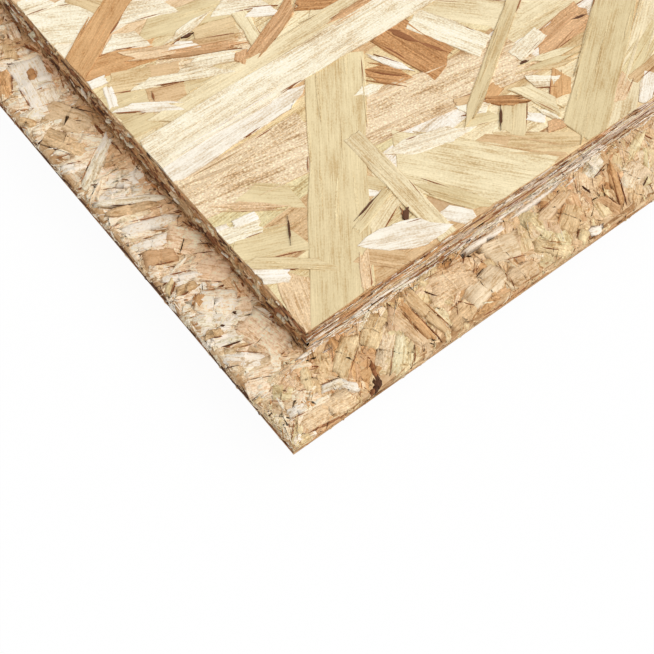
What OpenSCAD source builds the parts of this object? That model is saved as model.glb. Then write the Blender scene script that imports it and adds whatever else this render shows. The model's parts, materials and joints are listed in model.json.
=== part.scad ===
// Oriented strand board with a tongue milled along one long and one short edge
// and the matching groove along the other two. Millimetres, +Z up.

/* [Board] */
// Laying length of the face, along X, without the tongue
board_length = 2400; // [600:50:3000]
// Laying width of the face, along Y, without the tongue
board_width = 600; // [300:25:1250]
// Thickness from face to face
board_thickness = 18; // [15:1:25]

/* [Tongue] */
// How far the tongue stands out from its shoulders
tongue_length = 11; // [6:0.5:12]
// Thickness of the tongue where it leaves the shoulders
tongue_root = 6.2; // [5.5:0.1:8]
// Thickness that the tapered flanks would reach at the tip
tongue_tip = 3; // [2.2:0.1:5]
// Radius of the two rounded edges of the tip
tip_radius = 0.9; // [0.2:0.1:1]
// Radius of the cutter's corner between a flank and its shoulder
root_radius = 0.8; // [0.2:0.1:1.5]

/* [Groove] */
// Gap between the tongue's flank and the groove's wall, on each side
flank_clearance = 0.2; // [0.1:0.05:0.5]
// Gap between the tongue's tip and the groove's floor
tip_clearance = 1; // [0.4:0.1:1.5]

/* [Hidden] */

// Flats on each rounded edge of the profile
arc_steps = 6;
// Length that a cutter runs past the work
overrun = 5;
// Slope of the tongue's flanks
taper = atan((tongue_root - tongue_tip) / 2 / tongue_length);
// Outline of the whole board, tongues included
overall_length = board_length + tongue_length;
overall_width = board_width + tongue_length;

// Points on an arc, between two angles in degrees
function arc(centre, radius, from, to) =
    [for (i = [0 : arc_steps])
        let (angle = from + (to - from) * i / arc_steps)
        centre + radius * [cos(angle), sin(angle)]];

// Upper flank of a tongue, as [distance from the shoulder, height above the middle], from shoulder to tip
function upper_flank(half_root, length) =
    let (
        tip_height = half_root - length * tan(taper),
        radius = min(tip_radius, 0.8 * tip_height),
        tip_centre = [length - radius, half_root - (length - radius) * tan(taper) - radius / cos(taper)],
        root_centre = [root_radius, half_root - root_radius * tan(taper) + root_radius / cos(taper)]
    )
    concat(
        arc(root_centre, root_radius, 180, 270 - taper),
        arc(tip_centre, radius, 90 - taper, 0)
    );

// Whole profile of a tongue, upper to lower shoulder. With its clearances it is also a groove's.
function tongue_profile(flank_gap = 0, tip_gap = 0) =
    let (upper = upper_flank(tongue_root / 2 + flank_gap, tongue_length + tip_gap))
    concat(upper, [for (i = [len(upper) - 1 : -1 : 0]) [upper[i].x, -upper[i].y]]);

function reversed(points) = [for (i = [len(points) - 1 : -1 : 0]) points[i]];

// A profile set at an edge: a tongue stands out from it, and a groove enters the board behind it
function on_edge(points, place) = [for (p = points) [place - p.x, p.y]];

// Cross-section between two opposite edges: tongue at the low side, groove at the high side
module edge_section(width, half_height) {
    polygon(concat(
        [[0, half_height]],
        on_edge(tongue_profile(), 0),
        [[0, -half_height], [width, -half_height]],
        on_edge(reversed(tongue_profile(flank_clearance, tip_clearance)), width),
        [[width, half_height]]
    ));
}

// The long edges' section, run along X
module long_edges() {
    rotate([90, 0, 90])
        linear_extrude(overall_length + 2 * overrun)
            edge_section(board_width, board_thickness / 2);
}

// The short edges' section, run along Y, taller than the board so that the faces stay as cut
module short_edges() {
    translate([0, overall_width + 2 * overrun, 0])
        rotate([90, 0, 0])
            linear_extrude(overall_width + 2 * overrun)
                edge_section(board_length, board_thickness / 2 + overrun);
}

// Both pairs of edges are cut right through: tongues meet in a square corner, grooves run out
module board() {
    color("burlywood")
        translate([(tongue_length - board_length) / 2, (tongue_length - board_width) / 2, board_thickness / 2])
            intersection() {
                translate([-tongue_length - overrun, 0, 0]) long_edges();
                translate([0, -tongue_length - overrun, 0]) short_edges();
            }
}

board();
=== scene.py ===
import json
import math
from collections import namedtuple

import bmesh
import bpy
import numpy as np
from bpy.props import FloatProperty, FloatVectorProperty, IntProperty, PointerProperty
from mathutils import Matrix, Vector

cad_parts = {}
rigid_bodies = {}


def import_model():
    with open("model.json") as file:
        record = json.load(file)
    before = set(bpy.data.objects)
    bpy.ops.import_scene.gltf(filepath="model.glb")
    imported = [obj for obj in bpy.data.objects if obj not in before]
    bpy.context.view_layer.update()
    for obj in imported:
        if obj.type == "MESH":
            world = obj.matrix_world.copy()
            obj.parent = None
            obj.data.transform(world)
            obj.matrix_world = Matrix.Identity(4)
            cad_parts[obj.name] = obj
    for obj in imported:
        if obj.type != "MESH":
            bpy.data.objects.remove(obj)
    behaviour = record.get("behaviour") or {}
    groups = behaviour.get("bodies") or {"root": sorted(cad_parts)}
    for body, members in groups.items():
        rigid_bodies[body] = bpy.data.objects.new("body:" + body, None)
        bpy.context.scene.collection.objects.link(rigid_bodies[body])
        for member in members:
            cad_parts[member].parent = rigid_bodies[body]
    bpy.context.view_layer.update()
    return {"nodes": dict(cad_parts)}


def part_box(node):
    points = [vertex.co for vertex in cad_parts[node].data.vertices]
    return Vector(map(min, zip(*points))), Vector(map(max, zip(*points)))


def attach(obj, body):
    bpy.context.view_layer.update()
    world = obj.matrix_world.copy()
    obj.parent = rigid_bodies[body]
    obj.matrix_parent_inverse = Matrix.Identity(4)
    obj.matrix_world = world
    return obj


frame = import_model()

bl_info = {
    "name": "Tongue and groove strand board",
    "version": (1, 0, 0),
    "blender": (4, 5, 0),
    "location": "3D View > Sidebar > Strand Board",
    "description": "Lays pressed strands, milled flakes and edge layers on a packed tongue and groove board",
    "category": "Add Mesh",
}

MM = 0.001
# A point that is this near to a plane lies in it, in millimetres
FLUSH = 0.002

# The board as packed: its face, and how far the tongue stands out, come from the solid itself
BOARD = frame["nodes"]["board"]
BOX_LOW, BOX_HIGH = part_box("board")


def face_rectangle():
    """Lowest and highest corner of the flat upper face, in metres."""
    points = np.array([vertex.co for vertex in BOARD.data.vertices])
    upper = points[points[:, 2] > BOX_HIGH[2] - FLUSH * MM]
    return upper.min(axis=0), upper.max(axis=0)


FACE_LOW, FACE_HIGH = face_rectangle()
FACE_LENGTH = (FACE_HIGH[0] - FACE_LOW[0]) / MM
FACE_WIDTH = (FACE_HIGH[1] - FACE_LOW[1]) / MM
THICKNESS = (BOX_HIGH[2] - BOX_LOW[2]) / MM
TONGUE = (FACE_LOW[0] - BOX_LOW[0]) / MM


def linear(hex_colour):
    """An sRGB hex colour as linear red, green and blue."""
    parts = [int(hex_colour[i:i + 2], 16) / 255 for i in (1, 3, 5)]
    return tuple(c / 12.92 if c <= 0.04045 else ((c + 0.055) / 1.055) ** 2.4 for c in parts)


# Pine strands as they come out of the press, from bleached sapwood to resin-brown heartwood and bark. Umber and
# dark also serve as painted shade in gaps, pits and cracks, at the short tongue's foot and along the tips.
TONES = {
    "white": "#f5ecdb",
    "milk": "#fff1dc",
    "cream": "#f1e5ca",
    "pale": "#ead9b2",
    "straw": "#e1cda1",
    "gold": "#dfc598",
    "pink": "#e3cba8",
    "ash": "#cfbba6",
    "blush": "#fde4c5",
    "peach": "#e2c49d",
    "tan": "#d8b78b",
    "orange": "#d1a472",
    "rust": "#d3a97d",
    "brown": "#c69564",
    "umber": "#996540",
    "dark": "#62402a",
}


def tone_property(name):
    return FloatVectorProperty(
        name=name.capitalize(),
        description=f"Colour of the {name} strands",
        subtype="COLOR",
        size=3,
        min=0.0,
        max=1.0,
        default=linear(TONES[name]),
    )


def length_property(name, description, millimetres):
    return FloatProperty(name=name, description=description, unit="LENGTH", default=millimetres * MM)


class StrandTones(bpy.types.PropertyGroup):
    """Colours of the strands"""

    __annotations__ = {name: tone_property(name) for name in TONES}


class FaceSettings(bpy.types.PropertyGroup):
    """Strands pressed into the two faces"""

    seed: IntProperty(name="Seed", description="Which throw of strands is laid", default=7, min=0)
    length: length_property("Strand length", "Usual length of a strand", 82)
    width: length_property("Strand width", "Usual width of a strand", 8)
    thickness: length_property("Strand thickness", "Thickness of a strand", 0.6)
    spread: FloatProperty(
        name="Spread",
        description="How far the strands turn from the length of the board",
        subtype="ANGLE",
        default=math.radians(34),
    )
    loose: IntProperty(
        name="Loose strands",
        description="Strands thrown on top of each face's even layer",
        default=2700,
        min=0,
    )


class EdgeSettings(bpy.types.PropertyGroup):
    """Milled tongue, shoulders and lips"""

    seed: IntProperty(name="Seed", description="Which throw of flakes is laid", default=11, min=0)
    tongue_root: length_property("Tongue root", "Thickness of the tongue at its shoulders", 6.2)
    tongue_tip: length_property("Tongue tip", "Thickness that the flanks reach at the tip", 3)
    layer: length_property("Layer", "Thickness of a strand seen from its cut edge", 0.62)


class StageSettings(bpy.types.PropertyGroup):
    """Camera, lamp and floor"""

    distance: length_property("Distance", "From the camera to the point it looks at", 228.8)
    focal: FloatProperty(name="Lens", description="Focal length in millimetres on a 36 mm sensor", default=83.7)
    key: FloatProperty(name="Key light", description="Strength of the soft key light", default=2.14)
    fill: FloatProperty(name="Fill light", description="Strength of the light from all round", default=0.49)


# Modelling, in millimetres

# A blank is modelled at this size. What lies this near to its ends and sides keeps its size when it is stretched, as
# long as that is no more than a share of the new size.
BLANK_LENGTH = 40.0
BLANK_WIDTH = 8.0
END_KEEP = 6.0
SIDE_KEEP = 0.5
KEEP_SHARE = 0.45
# How near a blank's point lies to the place where it is looked for
TOUCH = 0.01
# Width of a pressed strand's rounded rim, and how much a milled flake's top is widened towards its rim
RIM_WIDTH = 0.16
FLAT_TOP = (1.15, 1.35, 1.0)
# How deep a milled flake is dented, from which width on, and how far its outline strays, as a share of its size
DENT = 0.09
DENT_WIDTH = 3.0
RAGGED = 0.04
# Waves in a chip's sides: radians over its length and share of their depth. The depth is a share of the chip's width.
WAVES = ((7, 1.0), (17, 0.6))
WAVE_DEPTH = (0.01, 0.05)
# How far the middle of a curled chip dips, as a share of its curl
CURL_DIP = 0.4
# How far apart the patterns of two chips may lie, and the bare margin round a chip's cell of the bake map
GRAIN_SHIFT = 400
CELL_MARGIN = 0.04
# How much the tone of a milled flake changes from spot to spot
MOTTLE = 0.07
# How much paler one end or side of a strand usually is than the other, how much more that is on a flake, and how its
# red, green and blue take part
LEAN = 0.07
FLAKE_LEAN = 2.2
REDDENING = np.array((0.8, 1.0, 1.25))
# Distance between the frayed spots of a sawn end, how deep they usually are, and how far they run from the middle
FRAY_STEP = 1.6
FRAY_DEPTH = 0.22
FRAY_REACH = 2000
# How far the corners of a sawn end differ, so that no two ends lie in one plane
FRAY_RAGGED = 0.06

# How far each row of a blank's right and left end is drawn back, from the lower to the upper side
ENDS = {
    "square": ((0.0, 0.2, 0.0, 0.3, 0.1), (0.2, 0.0, 0.3, 0.1, 0.0)),
    "slant": ((0.0, 0.9, 1.8, 2.7, 3.6), (0.0, 0.8, 1.9, 2.6, 3.5)),
    "torn": ((0.0, 1.2, 0.3, 1.0, 0.5), (0.6, 0.1, 1.2, 0.3, 0.9)),
    "point": ((4.6, 1.9, 0.0, 1.7, 4.2), (4.0, 1.6, 0.0, 2.0, 4.6)),
    "step": ((0.0, 0.1, 0.3, 1.6, 1.7), (1.5, 1.3, 0.2, 0.0, 0.1)),
}
KINDS = tuple(ENDS)

# A blank's rim is 1 where its edge is rounded off, and its roughness is 1 where copies of it are dented
Blank = namedtuple("Blank", "points faces rim rough")
Surface = namedtuple("Surface", "origin along across outward bend", defaults=(None,))
Chip = namedtuple("Chip", "along across turn length width top thick tilt curl taper tone fuzz kind")


def edit(piece):
    """Leaves everything deselected but one piece, whose mesh is then edited."""
    if bpy.context.mode != "OBJECT":
        bpy.ops.object.mode_set(mode="OBJECT")
    bpy.ops.object.select_all(action="DESELECT")
    piece.select_set(True)
    bpy.context.view_layer.objects.active = piece
    bpy.ops.object.mode_set(mode="EDIT")


def select(piece, kind, wanted):
    """Selects the verts, edges or faces of the mesh in edit mode that are wanted."""
    bpy.ops.mesh.select_all(action="DESELECT")
    bpy.context.tool_settings.mesh_select_mode = (kind == "verts", kind == "edges", kind == "faces")
    mesh = bmesh.from_edit_mesh(piece.data)
    for part in getattr(mesh, kind):
        if wanted(part):
            part.select_set(True)
    mesh.select_flush_mode()
    bmesh.update_edit_mesh(piece.data)


def torn_sheet(kind, cells_along, cells_across):
    """A flat sheet in edit mode, in millimetres, with the ends of its kind."""
    bpy.ops.object.select_all(action="DESELECT")
    bpy.ops.mesh.primitive_grid_add(x_subdivisions=cells_along, y_subdivisions=cells_across, size=1.0)
    sheet = bpy.context.object
    edit(sheet)
    bpy.ops.mesh.select_all(action="SELECT")
    bpy.ops.transform.resize(value=(BLANK_LENGTH, BLANK_WIDTH, 1.0))
    rows = np.linspace(-BLANK_WIDTH / 2, BLANK_WIDTH / 2, cells_across + 1)
    given = np.linspace(-BLANK_WIDTH / 2, BLANK_WIDTH / 2, len(ENDS[kind][0]))
    columns = np.linspace(-BLANK_LENGTH / 2, BLANK_LENGTH / 2, cells_along + 1)
    for side, draws in zip((1, -1), ENDS[kind]):
        for row, draw in zip(rows, np.interp(rows, given, draws)):
            for column in columns:
                share = (side * column - BLANK_LENGTH / 2) / END_KEEP + 1
                if share > 0:
                    place = Vector((column, row, 0))
                    select(sheet, "verts", lambda v: (v.co - place).length < TOUCH)
                    bpy.ops.transform.translate(value=(-side * draw * share, 0, 0))
    return sheet


def taken(piece, is_rim, is_rough):
    """The mesh of a modelled piece as a blank, once its faces point outward. The piece itself goes."""
    bpy.ops.mesh.select_all(action="SELECT")
    bpy.ops.mesh.normals_make_consistent(inside=False)
    if bmesh.from_edit_mesh(piece.data).calc_volume(signed=True) < 0:
        bpy.ops.mesh.flip_normals()
    bpy.ops.object.mode_set(mode="OBJECT")
    points = np.array([v.co for v in piece.data.vertices])
    faces = [list(face.vertices) for face in piece.data.polygons]
    bpy.data.meshes.remove(piece.data)
    return Blank(points, faces, is_rim(points[:, 2]).astype(float), is_rough(points[:, 2]).astype(float))


def model_strand(kind, cells_along, cells_across, rim):
    """One pressed strand as a closed slab, 1 mm thick with its top at 0 and nowhere rough."""
    slab = torn_sheet(kind, cells_along, cells_across)
    bpy.ops.mesh.select_all(action="SELECT")
    bpy.ops.mesh.extrude_region_move(TRANSFORM_OT_translate={"value": (0, 0, -1)})
    bpy.ops.mesh.select_all(action="SELECT")
    bpy.ops.mesh.normals_make_consistent(inside=False)
    select(slab, "faces", lambda f: f.calc_center_median().z < TOUCH - 1)
    bpy.ops.mesh.dissolve_faces()
    if rim:
        select(slab, "edges", lambda e: min(v.co.z for v in e.verts) > -TOUCH
               and any(abs(f.normal.z) < 0.5 for f in e.link_faces))
        bpy.ops.mesh.bevel(offset=RIM_WIDTH, segments=1, affect="EDGES")
    return taken(slab, lambda z: z < -TOUCH, np.zeros_like)


def model_flake(kind, cells_along, cells_across):
    """One milled flake as a closed dome, 1 mm thick with its top at 0 and a thin rim all round."""
    dome = torn_sheet(kind, cells_along, cells_across)
    select(dome, "verts", lambda v: not v.is_boundary)
    bpy.ops.transform.resize(value=FLAT_TOP, center_override=(0, 0, 0))
    select(dome, "verts", lambda v: v.is_boundary)
    bpy.ops.transform.translate(value=(0, 0, -1))
    bpy.ops.mesh.select_all(action="SELECT")
    bpy.ops.mesh.fill_holes(sides=0)
    return taken(dome, lambda z: z < TOUCH - 1, lambda z: z > TOUCH - 1)


def blanks_of(model, *sizes):
    return {kind: model(kind, *sizes) for kind in KINDS}


def stretched(values, old_size, new_size, keep):
    """Stretches the middle of a blank to a new size. What lies within keep of its sides stays as it is."""
    kept = np.minimum(keep, KEEP_SHARE * new_size)
    size = np.abs(values)
    middle = size / (old_size / 2 - keep) * (new_size / 2 - kept)
    side = new_size / 2 - (old_size / 2 - size) * kept / keep
    return np.sign(values) * np.where(size <= old_size / 2 - keep, middle, side)


def atlas_cells(count, low, high, aspect):
    """Lower left corners and size of count cells that fill a band of the bake map between two heights. The aspect is
    how much longer than wide their chips are."""
    columns = max(1, math.ceil(math.sqrt(count / (high - low) / aspect)))
    rows = max(1, math.ceil(count / columns))
    size = np.array((1.0 / columns, (high - low) / rows))
    index = np.arange(count)
    return np.stack((index % columns * size[0], low + index // columns * size[1]), axis=1), size


def lay_chips(chips, blanks, surface, rng, band):
    """Copies of the blanks as arrays, stretched, turned and set on a surface, one for each chip."""
    groups = []
    cells, cell = atlas_cells(len(chips), *band)
    for kind, blank in blanks.items():
        chosen = [i for i, chip in enumerate(chips) if chip.kind == kind]
        if not chosen:
            continue
        rows = [chips[i] for i in chosen]
        along, across, turn, length, width, top, thick, curl, taper = (
            np.array([getattr(row, field) for row in rows])[:, None]
            for field in ("along", "across", "turn", "length", "width", "top", "thick", "curl", "taper")
        )
        tilt = np.array([row.tilt for row in rows])[:, :, None]
        milled = blank.rough.max()
        flip = rng.choice((-1.0, 1.0), (len(rows), 2))
        x = stretched(blank.points[None, :, 0] * flip[:, :1], BLANK_LENGTH, length, END_KEEP)
        y = stretched(blank.points[None, :, 1] * flip[:, 1:], BLANK_WIDTH, width, SIDE_KEEP)
        uv = np.stack((x / length + 0.5, y / width + 0.5), axis=2)
        phase = rng.uniform(0, 2 * math.pi, (len(rows), 3, 1))
        wave = rng.uniform(*WAVE_DEPTH, (len(rows), 1)) * width
        ragged = milled * rng.normal(0, RAGGED, (2, *x.shape))
        x, y = x + ragged[0] * length / 2, y + ragged[1] * width
        swell = sum(
            share * np.sin(x / length * turns + phase[:, index] + (index + 1) * np.sign(y))
            for index, (turns, share) in enumerate(WAVES)
        )
        y = y * (1 + taper * x / length) + 2 * np.abs(y) / width * wave * swell
        height = top + thick * blank.points[None, :, 2] + tilt[:, 0] * x + tilt[:, 1] * y
        height = height + curl * (4 * x * x / length ** 2 - CURL_DIP)
        height = height + blank.rough * rng.normal(0, DENT, x.shape) * np.minimum(1, width / DENT_WIDTH)
        sine, cosine = np.sin(turn), np.cos(turn)
        along = along + cosine * x - sine * y
        across = across + sine * x + cosine * y
        if surface.bend:
            along, across, height = surface.bend(along, across, height)
        place = np.array(surface.origin)
        for part, axis in zip((along, across, height), surface[1:4]):
            place = place + part[:, :, None] * np.array(axis) * MM
        shift = rng.uniform(0, GRAIN_SHIFT, (len(rows), 1, 2))
        tone = np.array([(*row.tone, row.fuzz) for row in rows])[:, None, :]
        tone = tone.repeat(len(blank.points), axis=1)
        lean = rng.normal(0, LEAN * FLAKE_LEAN ** milled, (2, len(rows), 1))
        shade = 1 + lean[0] * x / length + lean[1] * y / width
        shade = shade + milled * rng.normal(0, MOTTLE, x.shape)
        tone[:, :, :3] *= shade[:, :, None] ** REDDENING
        inside = CELL_MARGIN + (1 - 2 * CELL_MARGIN) * np.clip(uv, 0, 1)
        groups.append({
            "place": place,
            "grain": np.stack((x, y), axis=2) + shift,
            "OFBake": cells[chosen][:, None, :] + inside * cell,
            "tone": tone,
            "rim": np.broadcast_to(blank.rim, x.shape),
            "faces": blank.faces,
            "mirrored": flip[:, 0] * flip[:, 1] * handedness(surface) < 0,
        })
    return groups


def handedness(surface):
    return np.sign(np.dot(np.cross(surface.along, surface.across), surface.outward))


def join_chips(name, groups, material, smooth=False):
    """One mesh of all the laid chips, with their tone, rim, grain and bake map."""
    values = {
        key: np.concatenate([group[key].reshape(-1, size) for group in groups])
        for key, size in (("place", 3), ("tone", 4), ("rim", 1), ("grain", 2), ("OFBake", 2))
    }
    faces, start = [], 0
    for group in groups:
        for mirrored in group["mirrored"]:
            step = -1 if mirrored else 1
            faces.extend([start + corner for corner in face[::step]] for face in group["faces"])
            start += group["place"].shape[1]
    mesh = bpy.data.meshes.new(name)
    mesh.from_pydata(values["place"], [], faces)
    corners = np.empty(len(mesh.loops), dtype=np.int32)
    mesh.loops.foreach_get("vertex_index", corners)
    for layer in ("grain", "OFBake"):
        mesh.uv_layers.new(name=layer).data.foreach_set("uv", values[layer][corners].ravel())
    tones = mesh.color_attributes.new("tone", "FLOAT_COLOR", "POINT")
    tones.data.foreach_set("color", values["tone"].ravel())
    rims = mesh.attributes.new("rim", "FLOAT", "POINT")
    rims.data.foreach_set("value", values["rim"].ravel())
    mesh.materials.append(material)
    if smooth:
        mesh.shade_smooth()
    piece = bpy.data.objects.new(name, mesh)
    bpy.context.collection.objects.link(piece)
    return piece


def select_open_edges():
    """Selects the edges of the mesh in edit mode that only one face holds."""
    bpy.ops.mesh.select_all(action="DESELECT")
    bpy.context.tool_settings.mesh_select_mode = (False, True, False)
    bpy.ops.mesh.select_non_manifold(
        extend=False, use_wire=False, use_multi_face=False, use_non_contiguous=False, use_verts=False
    )


def saw(piece, *cuts):
    """Cuts off what lies beyond each plane, given as a point and a normal, and closes the cut chips."""
    edit(piece)
    for point, normal in cuts:
        bpy.ops.mesh.select_all(action="SELECT")
        bpy.ops.mesh.bisect(plane_co=point, plane_no=normal, clear_outer=True, threshold=1e-7)
        select_open_edges()
        bpy.ops.mesh.fill_holes(sides=0)
    bpy.ops.object.mode_set(mode="OBJECT")


def clear_strays(piece):
    """Takes away the loose edges that the cuts left, and the few chips that they couldn't close."""
    edit(piece)
    select_open_edges()
    bpy.ops.mesh.select_linked()
    bpy.ops.mesh.delete(type="VERT")
    bpy.ops.mesh.select_all(action="SELECT")
    bpy.ops.mesh.delete_loose()
    bpy.ops.object.mode_set(mode="OBJECT")


def points_of(piece):
    """The places of a piece's points, in metres."""
    points = np.empty(len(piece.data.vertices) * 3)
    piece.data.vertices.foreach_get("co", points)
    return points.reshape(-1, 3)


def set_points(piece, points):
    piece.data.vertices.foreach_set("co", points.ravel())
    piece.data.update()


def fray(piece, rng):
    """Draws the strands' sawn ends back by small uneven amounts, as a blunt cutter leaves them."""
    points = points_of(piece)
    for corner, inward in ((FACE_LOW, 1), (FACE_HIGH, -1)):
        for axis in (0, 1):
            sawn = np.abs(points[:, axis] - corner[axis]) < FLUSH * MM
            along = points[sawn, 1 - axis]
            knots = np.arange(-FRAY_REACH * MM, FRAY_REACH * MM, FRAY_STEP * MM)
            draws = np.abs(rng.normal(0, FRAY_DEPTH, len(knots))) * MM
            ragged = rng.uniform(0, FRAY_RAGGED, len(along)) * MM
            points[sawn, axis] += inward * (np.interp(along, knots, draws) + ragged)
    set_points(piece, points)


def settle(piece, rng):
    """Sinks the sawn upper and lower ends of an edge's layers, so that no two of them lie in one plane."""
    points = points_of(piece)
    for edge, inward in ((BOX_HIGH[2] + LAYER_PROUD * MM, -1), (BOX_LOW[2] - LAYER_PROUD * MM, 1)):
        sawn = np.abs(points[:, 2] - edge) < FLUSH * MM
        points[sawn, 2] += inward * rng.uniform(0, LAYER_SINK, sawn.sum()) * MM
    set_points(piece, points)


def hand_over(piece):
    """The piece rides on the board."""
    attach(piece, "root")


def tone(name):
    return tuple(getattr(bpy.context.scene.strand_tones, name))


def mixed_tone(rng, shares, spread=0.05):
    """A tone drawn from the named ones by their shares, a little lighter or darker than its name."""
    weights = np.array(tuple(shares.values()))
    colour = np.array(tone(rng.choice(tuple(shares), p=weights / sum(weights))))
    colour = colour * rng.normal(1.0, spread) ** REDDENING * rng.normal(1.0, spread / 6, 3)
    return tuple(np.clip(colour, 0.0, 1.0))


# Materials


def new_material(name):
    """An empty node material, and its node tree."""
    material = bpy.data.materials.new(name)
    material.use_nodes = True
    material.node_tree.nodes.clear()
    return material, material.node_tree


def add(tree, kind, settings=None, **inputs):
    """Adds a node, sets its settings, and links or sets its inputs, which are named with _ for a space, or i and their
    number. A node among them is linked by its first output."""
    node = tree.nodes.new(kind)
    for name, value in (settings or {}).items():
        setattr(node, name, value)
    for name, value in inputs.items():
        key = int(name[1:]) if name[0] == "i" and name[1:].isdigit() else name.replace("_", " ")
        if isinstance(value, bpy.types.Node):
            value = value.outputs[0]
        if isinstance(value, bpy.types.NodeSocket):
            tree.links.new(value, node.inputs[key])
        else:
            node.inputs[key].default_value = value
    return node


# How the sum of a strand's marks shades its tone. Late wood is darker and redder; and since the bump raises the
# same sum, the hollows get painted shade and the raised fibres a painted highlight.
SHADES = (
    (0.0, (0.50, 0.38, 0.27)),
    (0.28, (0.80, 0.70, 0.58)),
    (0.5, (1.0, 1.0, 1.0)),
    (1.0, (1.26, 1.28, 1.34)),
)
# Length and width of the pale specks of torn strands in millimetres, the noise at which they start and are full, and
# how much paler than the strand they are
SPECK = (0.45, 0.34)
SPECK_FROM = 0.48
SPECK_FULL = 0.72
SPECK_GAIN = 0.5
# Usual length of the parts of a rim that stand off and get painted shade, in millimetres, the noise over which they
# fade, and the strength of that painted shade
PARTED = 4.0
PARTED_FADE = 0.14
PARTED_SHADE = 0.8


def strand_material(name, marks, wander, relief, rim_shade, parting, palest):
    """Pine split along its grain. Each mark has its length and width in millimetres, and its strength on whole and, on
    top of that, on torn strands. The grain wanders from the straight, relief is the depth of the marks in millimetres,
    and the rim shade is shade painted on a strand's rim where it stands off its neighbours: where noise passes the
    parting. No fibre is paler than the palest."""
    material, tree = new_material(name)
    grain = add(tree, "ShaderNodeUVMap", {"uv_map": "grain"})
    tint = add(tree, "ShaderNodeAttribute", {"attribute_name": "tone"})
    torn = tint.outputs["Alpha"]
    rim = add(tree, "ShaderNodeAttribute", {"attribute_name": "rim"}).outputs["Fac"]
    value = 0.5
    for length, width, on_whole, on_torn in marks:
        scaled = add(tree, "ShaderNodeMapping", Vector=grain, Scale=(1 / length, 1 / width, 1.0))
        mark = add(tree, "ShaderNodeTexNoise", {"noise_dimensions": "2D"}, Vector=scaled, Scale=1.0, Detail=3.0,
                   Roughness=0.6, Distortion=wander)
        centred = add(tree, "ShaderNodeMath", {"operation": "SUBTRACT"}, i0=mark, i1=0.5)
        strength = add(tree, "ShaderNodeMath", {"operation": "MULTIPLY_ADD"}, i0=torn, i1=on_torn, i2=on_whole)
        value = add(tree, "ShaderNodeMath", {"operation": "MULTIPLY_ADD"}, i0=centred, i1=strength, i2=value)
    shades = add(tree, "ShaderNodeValToRGB", Fac=value)
    for index, (position, shade) in enumerate(SHADES):
        stops = shades.color_ramp.elements
        stop = stops[index] if index < 2 else stops.new(position)
        stop.position = position
        stop.color = (*shade, 1.0)
    wood = add(tree, "ShaderNodeVectorMath", {"operation": "MULTIPLY"}, i0=tint, i1=shades)
    # Broken fibres of torn strands catch the light as pale specks
    scaled = add(tree, "ShaderNodeMapping", Vector=grain, Scale=(1 / SPECK[0], 1 / SPECK[1], 1.0))
    speck = add(tree, "ShaderNodeTexNoise", {"noise_dimensions": "2D"}, Vector=scaled, Scale=1.0, Detail=2.0)
    speck = add(tree, "ShaderNodeMapRange", Value=speck, From_Min=SPECK_FROM, From_Max=SPECK_FULL, To_Max=SPECK_GAIN)
    speck = add(tree, "ShaderNodeMath", {"operation": "MULTIPLY_ADD"}, i0=speck, i1=torn, i2=1.0)
    wood = add(tree, "ShaderNodeVectorMath", {"operation": "SCALE"}, i0=wood, Scale=speck)
    wood = add(tree, "ShaderNodeVectorMath", {"operation": "MINIMUM"}, i0=wood, i1=palest)
    shaded = add(tree, "ShaderNodeVectorMath", {"operation": "MULTIPLY"}, i0=tint, i1=rim_shade)
    # Along parts of its rim a strand stands off its neighbours, and there shade is painted into its colour
    scaled = add(tree, "ShaderNodeMapping", Vector=grain, Scale=(1 / PARTED, 1 / PARTED, 1.0))
    parted = add(tree, "ShaderNodeTexNoise", {"noise_dimensions": "2D"}, Vector=scaled, Scale=1.0, Detail=1.0)
    parted = add(tree, "ShaderNodeMapRange", Value=parted, From_Min=parting, From_Max=parting + PARTED_FADE)
    parted = add(tree, "ShaderNodeMath", {"operation": "MULTIPLY"}, i0=rim, i1=parted)
    parted = add(tree, "ShaderNodeMath", {"operation": "MULTIPLY"}, i0=parted, i1=PARTED_SHADE)
    colour = add(tree, "ShaderNodeMix", {"data_type": "RGBA"}, i0=parted, i6=wood, i7=shaded).outputs[2]
    bump = add(tree, "ShaderNodeBump", Strength=0.8, Distance=relief * MM, Height=value)
    shader = add(tree, "ShaderNodeBsdfPrincipled", Base_Color=colour, Roughness=0.72, IOR=1.5,
                 Specular_IOR_Level=0.25, Normal=bump)
    add(tree, "ShaderNodeOutputMaterial", Surface=shader)
    return material


def pressed_pine():
    # Face strands were sliced with the grain and ironed flat by the hot press: satin, with fine warm streaks. Torn ones
    # are speckled. The streaks are drawn at 0.26 mm, twice their width, so that they show.
    return strand_material(
        "pressed_pine_strand",
        marks=(
            (7.0, 0.26, 0.70, 0.4),
            (40.0, 1.6, 0.45, 0.7),
            (9.0, 4.0, 0.6, 0.2),
            (0.4, 0.28, 0.45, 0.8),
            (2.6, 1.1, 0.2, 0.4),
        ),
        wander=0.0,
        relief=0.10,
        # Painted shade on the parts of a strand's rim that stand off its neighbours
        rim_shade=(0.62, 0.50, 0.38),
        parting=0.46,
        palest=(0.97, 0.92, 0.85),
    )


def milled_pine():
    # Flakes laid open by the cutter: torn across the grain, so matt, fibrous, lumpy and browner than the pressed face
    return strand_material(
        "milled_pine_flake",
        marks=(
            (5.0, 0.32, 1.0, 0.0),
            (16.0, 1.2, 0.45, 0.2),
            (6.0, 3.0, 0.40, 0.3),
            (0.5, 0.34, 0.5, 0.9),
            (2.4, 0.9, 0.5, 0.9),
        ),
        wander=0.5,
        relief=0.17,
        # Painted shadow on the parts of a flake's rim that stand off its neighbours
        rim_shade=(0.42, 0.30, 0.20),
        parting=0.38,
        palest=(0.97, 0.86, 0.72),
    )


# Crushed flakes of the core along the long and the short edges, and the fluff on them, in millimetres
CORE_FLAKES = ((22.0, 3.5, 0.7), (3.5, 22.0, 0.7))
CORE_FLUFF = 0.6
CORE_SHADES = ((0.0, "#74502f"), (0.3, "#a67d54"), (0.6, "#c6a177"), (1.0, "#dcc09a"))


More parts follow.
